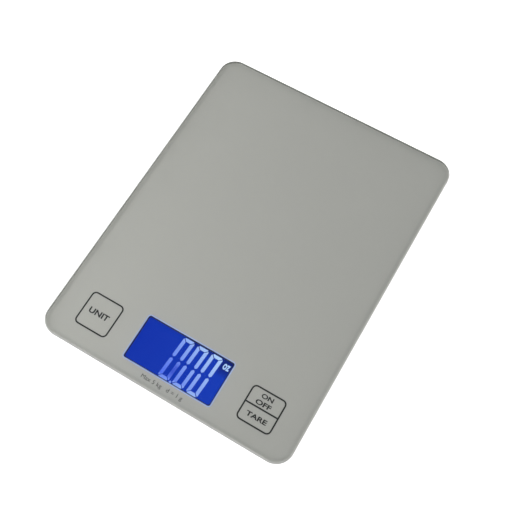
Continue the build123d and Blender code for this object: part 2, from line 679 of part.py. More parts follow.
with BuildPart() as battery_terminals:
    with BuildSketch(Plane.YZ.offset(-BATTERY_END)):
        with Locations(*[(y, BATTERY_Z - 0.3) for y in TERMINAL_Y]):
            Rectangle(PLATE_W, PLATE_H)
    extrude(amount=PLATE_T)
    with BuildSketch(Plane.YZ.offset(-BATTERY_END + PLATE_T)):
        with Locations((TERMINAL_Y[0], BATTERY_Z)):
            Circle(DIMPLE_R)
    extrude(amount=CAP_GAP, taper=20)
    with BuildSketch(Plane.YZ.offset(LUG_X)):
        with Locations(*[(y, LEAD_Z) for y in TERMINAL_Y]):
            Rectangle(2.0, 0.5)
    extrude(amount=PLATE_T - BATTERY_END - LUG_X)
write_part(battery_terminals.part, "battery_terminals")

with BuildPart() as battery_bridge:
    with BuildSketch(Plane.YZ.offset(BATTERY_END - PLATE_T)):
        with Locations((BAY_Y, BATTERY_Z - 0.3)):
            Rectangle(BATTERY_PITCH + PLATE_W, PLATE_H)
    extrude(amount=PLATE_T)
    with BuildSketch(Plane(origin=(BATTERY_END - PLATE_T, TERMINAL_Y[1], BATTERY_Z), z_dir=(-1, 0, 0))):
        Circle(DIMPLE_R)
    extrude(amount=CAP_GAP, taper=20)
write_part(battery_bridge.part, "battery_bridge")

NEG_WIRE_R = 0.3
NEG_COIL_H = NEG_SPACE - 2 * (NEG_WIRE_R + 0.05)
with BuildPart() as battery_springs:
    for cell_y, facing in ((TERMINAL_Y[0], -1), (TERMINAL_Y[1], 1)):
        base = -facing * (BATTERY_END - PLATE_T - NEG_WIRE_R - 0.05)
        with BuildLine() as neg_coil:
            Helix(
                pitch=NEG_COIL_H / 3,
                height=NEG_COIL_H,
                radius=3.6,
                center=(base, cell_y, BATTERY_Z),
                direction=(facing, 0, 0),
                cone_angle=-16,
            )
        with BuildSketch(Plane(origin=neg_coil.line @ 0, z_dir=neg_coil.line % 0)):
            Circle(NEG_WIRE_R)
        sweep(path=neg_coil.line)
write_part(battery_springs.part, "battery_springs")

LEAD_R = 0.55
for colour, cell_y, (pad_x, pad_y) in (
    ("red", TERMINAL_Y[0], LEAD_PADS[0]),
    ("black", TERMINAL_Y[1], LEAD_PADS[1]),
):
    with BuildPart() as battery_lead:
        with BuildLine() as lead_path:
            FilletPolyline(
                (LUG_X, cell_y, LEAD_Z),
                (pad_x, cell_y, LEAD_Z),
                (pad_x, pad_y, LEAD_Z),
                (pad_x, pad_y, BOARD_BOTTOM),
                radius=[4.0, 3.2],
            )
        with BuildSketch(Plane(origin=lead_path.line @ 0, z_dir=lead_path.line % 0)):
            Circle(LEAD_R)
        sweep(path=lead_path.line)
    write_part(battery_lead.part, f"battery_lead_{colour}")

# ---- three wires from each load cell ----
CELL_WIRE_R = 0.45
CELL_WIRE_Z = CELL_TOP + 0.55
SEAL_FACE = FOOT_Y - SEAL_Y - SEAL_L / 2

for index, colour in enumerate(WIRE_COLOURS):
    with BuildPart() as cell_wires:
        for side_x in (-1, 1):
            x = wire_x(side_x, 1, index)
            bow = side_x * (5.0 + 0.8 * index)
            with BuildLine() as back_path:
                FilletPolyline(
                    (x, SEAL_FACE, CELL_WIRE_Z),
                    (x, 60, CELL_WIRE_Z),
                    (x - bow, 36, CELL_WIRE_Z),
                    (x - bow, -34, CELL_WIRE_Z),
                    (x, -56, CELL_WIRE_Z),
                    (x, PAD_ROW_Y, CELL_WIRE_Z),
                    (x, PAD_ROW_Y, BOARD_BOTTOM),
                    radius=[20, 20, 20, 20, 2.2],
                )
            with BuildSketch(Plane(origin=back_path.line @ 0, z_dir=back_path.line % 0)):
                Circle(CELL_WIRE_R)
            sweep(path=back_path.line)
            seal_x = side_x * (FOOT_X + (index - 1) * WIRE_STEP)
            cross_y = PAD_ROW_Y - 3.1 + 0.9 * index
            x = wire_x(side_x, 0, index)
            with BuildLine() as front_path:
                FilletPolyline(
                    (seal_x, -SEAL_FACE, CELL_WIRE_Z),
                    (seal_x, cross_y, CELL_WIRE_Z),
                    (x, cross_y, CELL_WIRE_Z),
                    (x, PAD_ROW_Y, CELL_WIRE_Z),
                    (x, PAD_ROW_Y, BOARD_BOTTOM),
                    radius=[1.4, 1.0, 1.0],
                )
            with BuildSketch(Plane(origin=front_path.line @ 0, z_dir=front_path.line % 0)):
                Circle(CELL_WIRE_R)
            sweep(path=front_path.line)
    write_part(cell_wires.part, f"cell_wires_{colour}")

# ---- battery door and its snap latch ----
with BuildPart() as battery_door:
    with BuildSketch(Plane.XY.offset(COVER_BOTTOM)):
        with Locations((0, (DOOR_FRONT + HINGE_Y) / 2)):
            Rectangle(DOOR_W, HINGE_Y - DOOR_FRONT)
    extrude(amount=DOOR_T)
    with BuildSketch(Plane.YZ):
        with Locations((HINGE_Y, HINGE_Z)):
            Circle(ROLL_R)
    extrude(amount=DOOR_W / 2, both=True)
    with BuildSketch(Plane.YZ):
        with Locations((HINGE_Y, HINGE_Z)):
            Circle(PIN_R)
    extrude(amount=DOOR_W / 2 + PIN_L, both=True)
    with BuildSketch(Plane.XY.offset(COVER_BOTTOM + DOOR_T)):
        with Locations((0, BAY_Y)):
            Rectangle(38, 1.0)
    extrude(amount=1.6)
    with BuildSketch(Plane.XY.offset(COVER_BOTTOM)):
        with Locations((0, DOOR_FRONT + 6)):
            with GridLocations(0, 2.0, 1, 4):
                SlotOverall(16, 0.8)
    extrude(amount=0.4, mode=Mode.SUBTRACT)
write_part(battery_door.part, "battery_door")

LATCH_LEG = 0.8
LATCH_ARCH = COVER_BOTTOM + 4.4
LATCH_MIDDLE = (LATCH_FRONT + DOOR_FRONT) / 2
LATCH_CROWN = LATCH_ARCH + (DOOR_FRONT - LATCH_FRONT) / 2
BARB = 0.7
BARB_LOW = FLOOR_TOP + 0.15
with BuildPart() as door_latch:
    with BuildSketch(Plane.YZ):
        with BuildLine():
            Line((DOOR_FRONT, COVER_BOTTOM), (DOOR_FRONT, LATCH_ARCH))
            ThreePointArc(
                (DOOR_FRONT, LATCH_ARCH),
                (LATCH_MIDDLE, LATCH_CROWN),
                (LATCH_FRONT, LATCH_ARCH),
            )
            Polyline(
                (LATCH_FRONT, LATCH_ARCH),
                (LATCH_FRONT, FLOOR_TOP + 2 * BARB),
                (LATCH_FRONT - BARB, FLOOR_TOP + 0.6),
                (LATCH_FRONT - BARB, BARB_LOW),
                (LATCH_FRONT, BARB_LOW),
                (LATCH_FRONT, COVER_BOTTOM + 0.2),
                (LATCH_FRONT + LATCH_LEG, COVER_BOTTOM + 0.2),
                (LATCH_FRONT + LATCH_LEG, LATCH_ARCH),
            )
            ThreePointArc(
                (LATCH_FRONT + LATCH_LEG, LATCH_ARCH),
                (LATCH_MIDDLE, LATCH_CROWN - LATCH_LEG),
                (DOOR_FRONT - LATCH_LEG, LATCH_ARCH),
            )
            Polyline(
                (DOOR_FRONT - LATCH_LEG, LATCH_ARCH),
                (DOOR_FRONT - LATCH_LEG, COVER_BOTTOM),
                (DOOR_FRONT, COVER_BOTTOM),
            )
        make_face()
    extrude(amount=LATCH_W / 2, both=True)
write_part(door_latch.part, "door_latch")
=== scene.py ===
import json
from math import cos, radians, sin, tan

import bmesh
import bpy
from mathutils import Matrix, Vector


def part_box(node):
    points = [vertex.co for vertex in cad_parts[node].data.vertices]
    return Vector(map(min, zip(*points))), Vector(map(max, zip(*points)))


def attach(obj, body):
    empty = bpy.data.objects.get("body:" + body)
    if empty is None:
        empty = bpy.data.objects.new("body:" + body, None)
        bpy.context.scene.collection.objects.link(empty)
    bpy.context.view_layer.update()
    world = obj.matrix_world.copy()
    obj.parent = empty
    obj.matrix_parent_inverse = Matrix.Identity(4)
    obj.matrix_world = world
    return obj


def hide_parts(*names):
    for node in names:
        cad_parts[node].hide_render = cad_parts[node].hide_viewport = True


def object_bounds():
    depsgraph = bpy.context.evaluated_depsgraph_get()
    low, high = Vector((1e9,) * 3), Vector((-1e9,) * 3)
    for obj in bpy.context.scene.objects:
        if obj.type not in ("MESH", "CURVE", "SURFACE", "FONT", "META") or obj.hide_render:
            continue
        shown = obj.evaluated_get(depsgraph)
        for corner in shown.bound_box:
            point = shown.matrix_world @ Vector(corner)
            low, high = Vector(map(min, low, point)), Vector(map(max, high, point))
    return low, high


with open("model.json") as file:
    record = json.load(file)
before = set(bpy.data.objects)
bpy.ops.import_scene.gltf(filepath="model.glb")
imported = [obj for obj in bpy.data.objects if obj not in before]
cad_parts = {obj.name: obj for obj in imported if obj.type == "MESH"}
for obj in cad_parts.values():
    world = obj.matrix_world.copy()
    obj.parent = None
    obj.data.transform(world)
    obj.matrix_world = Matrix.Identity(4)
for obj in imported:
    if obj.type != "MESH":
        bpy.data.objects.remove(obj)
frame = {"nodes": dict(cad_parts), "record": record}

# Slim glass kitchen scale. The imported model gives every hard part; this script gives them their
# materials and adds what is printed on the back of the glass and what the display shows.
# Metres, X right, Y towards the back, Z up.

MM = 0.001
cad_low, cad_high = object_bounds()
glass_low, glass_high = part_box("glass_platform")
print_low, print_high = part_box("back_print")
lcd_low, lcd_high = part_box("lcd_panel")
glass_w = (glass_high.x - glass_low.x) / MM
glass_l = (glass_high.y - glass_low.y) / MM
scene = bpy.context.scene
scene.view_settings.view_transform = "Standard"

# ---- printed marks, in millimetres from the middle of the glass ----
PRINT_EDGE = 0.55          # the lacquer ends this far inside the glass
PRINT_CORNER = 10.95
GLASS_CORNER = 11.5
TOP_ARRIS = 0.9            # ground edges of the glass, above and below
LOW_ARRIS = 0.5
INK = 0.02                 # thickness of printed ink
WINDOW = (-0.25, -89.4, 62.2, 30.6)  # display window: middle and size
WINDOW_CORNER = 1.5
UNIT_KEY = (-58.8, -89.85)
POWER_KEY = (58.7, -90.2)
KEY_SIZE = 23.6
KEY_LINE = 1.0
KEY_CORNER = 3.2

# ---- tone of the lacquer, with painted light and shade ----
# painted light: the lacquer is paler at the left front and darker at the back right, as the lamps fall on
# it
SHADE_DRIFT_X = 1.0
SHADE_DRIFT_Y = 0.35
# lit and shaded tones of the one lacquer, for that painted light
FACE_LIT = (0.497, 0.487, 0.464)
FACE_SHADED = (0.449, 0.441, 0.422)
SHADOW_LINE_INSET = 2.5            # a painted shadow line this far inside the edge of the glass
# how far the painted shadow line darkens the lacquer
SHADOW_LINE_DEPTH = 0.08

# ---- display digits, in millimetres ----
DIGIT_H = 28.8
DIGIT_W = 7.8
DIGIT_PITCH = 10.15
DIGIT_LEFT = -6.75         # lower left of the first digit
DIGIT_BOTTOM = -104.1
DIGIT_SLANT = 3.7          # degrees
STROKE = 2.25

# ---- display colours ----
FIELD_LEFT = (0.0, 0.026, 0.41)
FIELD_RIGHT = (0.004, 0.040, 0.47)
FIELD_DARK = (0.002, 0.006, 0.10)  # between the digits' tops and in the upper right corner

# ---- lamps, sky and floor ----
KEY_POWER = 24.6
FILL_POWER = 16.4
SKY_LOW = 0.6              # strength near the horizon
SKY_HIGH = 0.03            # and overhead, so that the glass mirrors no veil
FLOOR_GLOW = 0.8           # keeps the floor white


# ---- material tools ----
class Nodes:
    """A material's node tree, with short calls for what the materials below need."""

    def __init__(self, name):
        self.material = bpy.data.materials.new(name)
        self.material.use_nodes = True
        self.tree = self.material.node_tree
        self.shader = self.tree.nodes["Principled BSDF"]
        self.output = self.tree.nodes["Material Output"]
        self.place = self.add("ShaderNodeTexCoord").outputs["Object"]

    def add(self, kind, **settings):
        node = self.tree.nodes.new(kind)
        for key, value in settings.items():
            setattr(node, key, value)
        return node

    def link(self, source, target):
        self.tree.links.new(source, target)

    def set(self, **values):
        """Uniform values on the shader's own sockets."""
        for key, value in values.items():
            self.shader.inputs[key.replace("_", " ")].default_value = value

    def stretched(self, scale):
        mapping = self.add("ShaderNodeMapping")
        mapping.inputs["Scale"].default_value = scale
        self.link(self.place, mapping.inputs["Vector"])
        return mapping.outputs["Vector"]

    def noise(self, scale, detail=3.0, roughness=0.5, stretch=None):
        node = self.add("ShaderNodeTexNoise")
        node.inputs["Scale"].default_value = scale
        node.inputs["Detail"].default_value = detail
        node.inputs["Roughness"].default_value = roughness
        self.link(self.stretched(stretch) if stretch else self.place, node.inputs["Vector"])
        return node.outputs["Fac"]

    def ramp(self, source, low, high, start=0.3, end=0.7):
        """Colours from low to high as source goes from start to end."""
        node = self.add("ShaderNodeValToRGB")
        node.color_ramp.elements[0].position = start
        node.color_ramp.elements[1].position = end
        node.color_ramp.elements[0].color = (*low, 1)
        node.color_ramp.elements[1].color = (*high, 1)
        self.link(source, node.inputs["Fac"])
        return node.outputs["Color"]

    def paint(self, source, colour, down, up):
        """Base colour that goes from a darker to a lighter tone of one colour."""
        tones = self.ramp(source, shade(colour, down), shade(colour, up))
        self.link(tones, self.shader.inputs["Base Color"])

    def range(self, source, low, high, start=0.0, end=1.0):
        node = self.add("ShaderNodeMapRange")
        node.inputs["From Min"].default_value = start
        node.inputs["From Max"].default_value = end
        node.inputs["To Min"].default_value = low
        node.inputs["To Max"].default_value = high
        self.link(source, node.inputs["Value"])
        return node.outputs["Result"]

    def math(self, operation, first, second):
        node = self.add("ShaderNodeMath", operation=operation)
        for socket, value in zip(node.inputs, (first, second)):
            if isinstance(value, (int, float)):
                socket.default_value = value
            else:
                self.link(value, socket)
        return node.outputs["Value"]

    def mix(self, factor, first, second):
        node = self.add("ShaderNodeMix", data_type="RGBA")
        self.link(factor, node.inputs["Factor"])
        for socket, value in ((node.inputs[6], first), (node.inputs[7], second)):
            if isinstance(value, tuple):
                socket.default_value = (*value, 1)
            else:
                self.link(value, socket)
        return node.outputs[2]

    def axis(self, name):
        split = self.add("ShaderNodeSeparateXYZ")
        self.link(self.place, split.inputs["Vector"])
        return split.outputs[name]

    def distance(self, point):
        node = self.add("ShaderNodeVectorMath", operation="DISTANCE")
        self.link(self.place, node.inputs[0])
        node.inputs[1].default_value = point
        return node.outputs["Value"]

    def bump(self, source, strength, depth):
        node = self.add("ShaderNodeBump")
        node.inputs["Strength"].default_value = strength
        node.inputs["Distance"].default_value = depth
        self.link(source, node.inputs["Height"])
        self.link(node.outputs["Normal"], self.shader.inputs["Normal"])


def shade(colour, factor):
    return tuple(min(1.0, channel * factor) for channel in colour)


def moulded(name, colour, rough=0.5, grain=2600, depth=0.03 * MM, spread=0.06):
    """Moulded plastic: a fine spark-eroded grain, faint flow marks and uneven sheen."""
    made = Nodes(name)
    fine = made.noise(grain, 2)
    broad = made.noise(30, 4)
    made.paint(broad, colour, 1 - spread, 1 + spread)
    made.link(made.range(fine, rough - 0.08, rough + 0.08), made.shader.inputs["Roughness"])
    made.bump(fine, 0.35, depth)
    return made.material


def metal(name, colour, rough=0.3, stretch=(1, 12, 12), grain=900, spread=0.12):
    """Rolled or drawn metal with fine lines along X."""
    made = Nodes(name)
    made.set(Metallic=1.0)
    lines = made.noise(grain, 4, 0.6, stretch)
    made.paint(lines, colour, 1 - spread, 1 + spread)
    made.link(made.range(lines, rough - 0.1, rough + 0.12), made.shader.inputs["Roughness"])
    made.bump(lines, 0.2, 0.01 * MM)
    return made.material


def rubber(name, colour, rough=0.8, grain=1800):
    made = Nodes(name)
    cells = made.add("ShaderNodeTexVoronoi")
    cells.inputs["Scale"].default_value = grain
    made.link(made.place, cells.inputs["Vector"])
    dust = made.noise(120, 4)
    made.paint(dust, colour, 0.85, 1.35)
    made.link(made.range(dust, rough - 0.08, rough + 0.1), made.shader.inputs["Roughness"])
    made.bump(cells.outputs["Distance"], 0.3, 0.05 * MM)
    return made.material


def insulation(name, colour):
    """Wire insulation: smooth PVC with faint extrusion ripple."""
    made = Nodes(name)
    ripple = made.noise(700, 2)
    made.paint(ripple, colour, 0.85, 1.15)
    made.link(made.range(ripple, 0.28, 0.42), made.shader.inputs["Roughness"])
    made.bump(ripple, 0.15, 0.03 * MM)
    return made.material


def shone_through(made):
    """Lets the lamps shine through a material."""
    clear = made.add("ShaderNodeBsdfTransparent")
    clear.inputs["Color"].default_value = (0.93, 0.95, 0.94, 1)
    path = made.add("ShaderNodeLightPath")
    choose = made.add("ShaderNodeMixShader")
    made.link(path.outputs["Is Shadow Ray"], choose.inputs["Fac"])
    made.link(made.shader.outputs["BSDF"], choose.inputs[1])
    made.link(clear.outputs["BSDF"], choose.inputs[2])
    made.link(choose.outputs["Shader"], made.output.inputs["Surface"])
    return made.material


def clear_glass():
    """Tempered glass with a faint green tint and finger haze. Lamps shine through it."""
    made = Nodes("platform_glass")
    haze = made.noise(38, 5, 0.6)
    made.set(Base_Color=(0.955, 0.985, 0.97, 1), Transmission_Weight=1.0, IOR=1.5)
    made.link(made.range(haze, 0.0, 0.05, 0.35, 0.8), made.shader.inputs["Roughness"])
    made.bump(made.noise(9, 2), 0.03, 0.05 * MM)
    return shone_through(made)


def ground_edge(name, colour):
    """Ground edge of the glass, faintly green, and lamps shine through it. Its tone is given: a darker
    copy on the walls is partly the grey of the ground edge and partly painted shade, and a paler copy on
    the top arris is a painted highlight.
    """
    made = Nodes(name)
    grind = made.noise(700, 4, 0.6)
    made.paint(grind, colour, 0.92, 1.08)
    made.link(made.range(grind, 0.35, 0.5), made.shader.inputs["Roughness"])
    made.set(Specular_IOR_Level=0.2)
    made.bump(grind, 0.1, 0.02 * MM)
    return shone_through(made)


def silver_print():
    """Silver-grey lacquer: fine metal flake, painted light that makes it paler at the left front and
    darker at the back right, and a painted shadow line near the edge.
    """
    made = Nodes("silver_print")
    flake = made.noise(5200, 2, 0.7)
    # painted light: a tone by place, paler at the left front and darker at the back right
    light_fall_x = made.math("MULTIPLY", made.axis("X"), SHADE_DRIFT_X)
    light_fall_y = made.math("MULTIPLY", made.axis("Y"), SHADE_DRIFT_Y)
    light_fall = made.math("ADD", light_fall_x, light_fall_y)
    tone = made.ramp(made.range(light_fall, 0, 1, -0.1, 0.1), FACE_LIT, FACE_SHADED, 0, 1)
    # painted shadow: a darker line at a set distance inside the edge of the glass
    beyond = []
    for name, size in (("X", glass_w), ("Y", glass_l)):
        straight = (size / 2 - GLASS_CORNER) * MM
        outside = made.math("SUBTRACT", made.math("ABSOLUTE", made.axis(name), 0.0), straight)
        beyond.append(made.math("MAXIMUM", outside, 0.0))
    squares = made.math("ADD", made.math("POWER", beyond[0], 2.0), made.math("POWER", beyond[1], 2.0))
    inset = made.math("SUBTRACT", GLASS_CORNER * MM, made.math("POWER", squares, 0.5))
    off_shadow_line = made.math("ABSOLUTE", made.math("SUBTRACT", inset, SHADOW_LINE_INSET * MM), 0.0)
    line = made.range(off_shadow_line, 1.0, 0.0, 0.2 * MM, 1.1 * MM)
    shaded = made.mix(made.math("MULTIPLY", line, SHADOW_LINE_DEPTH), tone, (0.16, 0.16, 0.155))
    sparkle = made.ramp(flake, (0.93, 0.93, 0.93), (1.06, 1.06, 1.06), 0.35, 0.65)
    blend = made.add("ShaderNodeMix", data_type="RGBA", blend_type="MULTIPLY")
    blend.inputs["Factor"].default_value = 1.0
    made.link(shaded, blend.inputs[6])
    made.link(sparkle, blend.inputs[7])
    made.link(blend.outputs[2], made.shader.inputs["Base Color"])
    made.link(made.range(flake, 0.42, 0.6), made.shader.inputs["Roughness"])
    made.set(Metallic=0.25)
    made.bump(flake, 0.12, 0.01 * MM)
    return made.material


def ink(name, colour, spread=0.25):
    made = Nodes(name)
    mottle = made.noise(1500, 3)
    made.paint(mottle, colour, 1 - spread, 1 + spread)
    made.link(made.range(mottle, 0.35, 0.5), made.shader.inputs["Roughness"])
    made.bump(mottle, 0.1, 0.005 * MM)
    return made.material


def lit(made, strength, colour):
    """Ends a material that gives its own light: colour is a socket."""
    made.link(colour, made.shader.inputs["Emission Color"])
    made.set(Base_Color=(0.004, 0.006, 0.03, 1), Emission_Strength=strength, Roughness=0.35)
    made.set(Specular_IOR_Level=0.1)
    return made.material


def display_field():
    """Blue negative display: deeper towards the top right, with a fine electrode grid."""
    made = Nodes("lcd_glass")
    across = made.axis("X")
    up = made.axis("Y")
    left_to_right = made.range(across, 0, 1, -31 * MM, 31 * MM)
    field = made.ramp(left_to_right, FIELD_LEFT, FIELD_RIGHT, 0, 1)
    digits_left = made.range(across, 0, 1, -8 * MM, 2 * MM)
    digits_right = made.range(across, 1, 0, 23 * MM, 25 * MM)
    digits = made.math("MULTIPLY", digits_left, digits_right)
    digits = made.math("MULTIPLY", digits, made.range(up, 0, 0.6, -79 * MM, -76 * MM))
    corner_right = made.range(across, 0, 1, 22 * MM, 24 * MM)
    corner_top = made.range(up, 0, 0.85, -86 * MM, -80 * MM)
    corner = made.math("MULTIPLY", corner_right, corner_top)
    dark = made.mix(made.math("MAXIMUM", digits, corner), field, FIELD_DARK)
    grid = made.noise(900, 1, 0.5, (1, 0.15, 1))
    shimmer = made.range(grid, 0.0, 0.2, 0.4, 0.9)
    return lit(made, 1.0, made.mix(shimmer, dark, (0.0, 0.04, 0.46)))


def display_segment():
    """Lit segments: palest at the upper right, blue at the lower left, one nearly faded."""
    made = Nodes("lcd_segment")
    rise = made.range(made.axis("Y"), 0, 0.45, -101 * MM, -75 * MM)
    run = made.range(made.axis("X"), 0, 0.55, -4 * MM, 27 * MM)
    top_bar = made.range(made.axis("Y"), 0, 0.14, -78 * MM, -77 * MM)
    low_bar = made.range(made.axis("Y"), 0.24, 0, -102.6 * MM, -101.6 * MM)
    level = made.math("ADD", made.math("ADD", rise, run), made.math("ADD", top_bar, low_bar))
    tone = made.ramp(level, (0.085, 0.165, 0.88), (0.50, 0.70, 1.0), 0, 1)
    faded = made.range(made.distance((1.4 * MM, -96.5 * MM, lcd_high.z)), 0.85, 0.0, 2.0 * MM, 7.0 * MM)
    edge = made.range(made.axis("X"), 1.0, 0.0, 3.2 * MM, 3.6 * MM)
    inner = made.range(made.axis("X"), 0.0, 1.0, -1.6 * MM, -1.2 * MM)
    above = made.range(made.axis("Y"), 0.0, 1.0, -103.0 * MM, -102.0 * MM)
    patch = made.math("MULTIPLY", made.math("MULTIPLY", faded, edge), made.math("MULTIPLY", inner, above))
    ripple = made.range(made.noise(1100, 1), 0.0, 0.18, 0.4, 0.8)
    pale = made.mix(ripple, tone, (0.26, 0.43, 1.0))
    return lit(made, 1.0, made.mix(patch, pale, (0.035, 0.075, 0.62)))


def glowing(name, low, high, strength, grain):
    made = Nodes(name)
    return lit(made, strength, made.ramp(made.noise(grain, 3), low, high))


def circuit_board():
    """Green solder mask with darker copper runs under it."""
    made = Nodes("board_green")
    runs = made.add("ShaderNodeTexBrick")
    runs.inputs["Scale"].default_value = 260
    runs.inputs["Mortar Size"].default_value = 0.06
    runs.inputs["Color1"].default_value = (0.012, 0.16, 0.05, 1)
    runs.inputs["Color2"].default_value = (0.016, 0.20, 0.065, 1)
    runs.inputs["Mortar"].default_value = (0.045, 0.30, 0.10, 1)
    made.link(made.place, runs.inputs["Vector"])
    made.link(runs.outputs["Color"], made.shader.inputs["Base Color"])
    made.link(made.range(made.noise(400, 3), 0.2, 0.4), made.shader.inputs["Roughness"])
    made.bump(runs.outputs["Fac"], 0.25, 0.03 * MM)
    return made.material


def board_parts():
    """Small parts on the board: brown ceramic, black and tinned pieces, told apart by place."""
    made = Nodes("component_mix")
    cells = made.add("ShaderNodeTexVoronoi")
    cells.inputs["Scale"].default_value = 240
    made.link(made.place, cells.inputs["Vector"])
    made.link(
        made.ramp(cells.outputs["Color"], (0.02, 0.02, 0.02), (0.42, 0.30, 0.18), 0.35, 0.5),
        made.shader.inputs["Base Color"],
    )
    made.link(made.range(made.noise(900), 0.3, 0.6), made.shader.inputs["Roughness"])
    made.bump(made.noise(2500), 0.2, 0.02 * MM)
    return made.material


def battery_sleeve():
    """Cell sleeve: dark body, a copper-coloured band at the plus end of each cell."""
    made = Nodes("battery_sleeve")
    rear = made.math("GREATER_THAN", made.axis("Y"), -36 * MM)
    side = made.math("SUBTRACT", made.math("MULTIPLY", rear, 2.0), 1.0)
    along = made.math("MULTIPLY", made.axis("X"), side)
    band = made.range(along, 0, 1, 10.0 * MM, 10.2 * MM)
    cap = made.range(along, 0, 1, 22.2 * MM, 22.3 * MM)
    scuff = made.noise(260, 4)
    sleeve = made.ramp(scuff, (0.016, 0.018, 0.022), (0.035, 0.038, 0.045))
    copper = made.ramp(scuff, (0.55, 0.30, 0.14), (0.68, 0.40, 0.20))
    steel = made.ramp(scuff, (0.60, 0.60, 0.60), (0.78, 0.78, 0.77))
    made.link(made.mix(cap, made.mix(band, sleeve, copper), steel), made.shader.inputs["Base Color"])
    made.link(made.range(band, 0.0, 1.0), made.shader.inputs["Metallic"])
    made.link(made.range(scuff, 0.25, 0.45), made.shader.inputs["Roughness"])
    made.bump(scuff, 0.08, 0.02 * MM)
    return made.material


def striped(name, low, high, scale, rough):
    """Fine layers across X, as in a conductive rubber strip or a foil gauge's grid."""
    made = Nodes(name)
    waves = made.add("ShaderNodeTexWave", wave_type="BANDS", bands_direction="X")
    waves.inputs["Scale"].default_value = scale
    waves.inputs["Distortion"].default_value = 0.4
    made.link(made.place, waves.inputs["Vector"])
    made.link(made.ramp(waves.outputs["Fac"], low, high, 0.4, 0.6), made.shader.inputs["Base Color"])
    made.link(made.range(made.noise(600), rough - 0.08, rough + 0.08), made.shader.inputs["Roughness"])
    made.bump(waves.outputs["Fac"], 0.2, 0.02 * MM)
    return made.material


MATERIALS = {
    "platform_glass": clear_glass(),
    "silver_print": silver_print(),
    "foam_tape": rubber("foam_tape", (0.012, 0.012, 0.012), 0.85, 3500),
    "carrier_plastic": moulded("carrier_plastic", (0.50, 0.50, 0.49), 0.5),
    "cover_plastic": moulded("cover_plastic", (0.47, 0.47, 0.46), 0.52),
    "door_plastic": moulded("door_plastic", (0.45, 0.45, 0.44), 0.5),
    "steel_screw": metal("steel_screw", (0.60, 0.60, 0.62), 0.3),
    "cell_steel": metal("cell_steel", (0.63, 0.62, 0.60), 0.32),
    "gauge_foil": striped("gauge_foil", (0.45, 0.22, 0.05), (0.70, 0.42, 0.14), 420, 0.35),
    "sealant": rubber("sealant", (0.62, 0.62, 0.60), 0.45, 900),
    "retainer_plastic": moulded("retainer_plastic", (0.014, 0.014, 0.016), 0.45),
    "foot_plastic": moulded("foot_plastic", (0.022, 0.022, 0.024), 0.42),
    "foot_rubber": rubber("foot_rubber", (0.011, 0.011, 0.011), 0.78),
    "board_green": circuit_board(),
    "chip_black": moulded("chip_black", (0.012, 0.012, 0.012), 0.6, 5000),
    "component_mix": board_parts(),
    "solder": metal("solder", (0.70, 0.71, 0.73), 0.2, (1, 1, 1), 1600),
    "lcd_glass": display_field(),
    "lcd_holder": moulded("lcd_holder", (0.74, 0.74, 0.74), 0.5),
    "light_guide": glowing("light_guide", (0.45, 0.62, 1.0), (0.62, 0.76, 1.0), 0.8, 160),
    "reflector": moulded("reflector", (0.80, 0.80, 0.80), 0.4),
    "led": glowing("led", (0.72, 0.82, 1.0), (0.92, 0.96, 1.0), 2.0, 300),
    "contact_rubber": striped("contact_rubber", (0.02, 0.02, 0.02), (0.55, 0.24, 0.32), 900, 0.6),
    "spring_steel": metal("spring_steel", (0.70, 0.70, 0.71), 0.22, (4, 4, 4)),
    "nickel_contact": metal("nickel_contact", (0.70, 0.68, 0.63), 0.26),
    "battery_sleeve": battery_sleeve(),
    "wire_red": insulation("wire_red", (0.42, 0.012, 0.012)),
    "wire_white": insulation("wire_white", (0.62, 0.62, 0.60)),
    "wire_black": insulation("wire_black", (0.012, 0.012, 0.012)),
}
# darker copy for the walls and lower arris: the grey of the ground edge with painted shade
GROUND_GREY_AND_PAINTED_SHADE = ground_edge("ground_edge", (0.30, 0.305, 0.29))
# paler copy for the top arris: a painted highlight line
ARRIS_PAINTED_HIGHLIGHT = ground_edge("ground_arris_painted_highlight", (0.56, 0.565, 0.54))
# painted shade: a darker grey than the face lacquer, for the dark outer edge of the glass
BORDER_PAINTED_SHADE = ink("border_painted_shade", (0.27, 0.272, 0.255), 0.06)
INK_BLACK = ink("ink_black", (0.012, 0.012, 0.013))
INK_GREY = ink("ink_grey", (0.03, 0.03, 0.03))
TRIM_PALE = ink("trim_pale", (0.40, 0.50, 0.82), 0.08)
# navy for the display's border: its own dark mask, with painted shadow of the window's edge
MASK_NAVY_AND_SHADOW = ink("mask_navy_and_shadow", (0.006, 0.010, 0.07))
SEGMENT = display_segment()

for row in frame["record"]["subparts"]:
    node = frame["nodes"][row["node"]]
    material = MATERIALS[row["material_slot"]]
    if not node.material_slots:
        node.data.materials.append(material)
    for place in node.material_slots:
        place.material = material


# ---- flat pieces: the print, the ink on it and the display's segments ----
def rounded_rect(middle_x, middle_y, width, length, corner, steps=10):
    """Corner points of a rounded rectangle, anticlockwise."""
    points = []
    for turn, (side_x, side_y) in enumerate(((1, 1), (-1, 1), (-1, -1), (1, -1))):
        x = middle_x + side_x * (width / 2 - corner)
        y = middle_y + side_y * (length / 2 - corner)
        for step in range(steps + 1):
            angle = radians(90 * (turn + step / steps))
            points.append((x + corner * cos(angle), y + corner * sin(angle)))
    return points


def mesh_of(source):
    """The mesh of a curve or text object. The source is removed."""
    scene.collection.objects.link(source)
    bpy.context.view_layer.update()
    graph = bpy.context.evaluated_depsgraph_get()
    mesh = bpy.data.meshes.new_from_object(source.evaluated_get(graph))
    bpy.data.objects.remove(source)
    return mesh


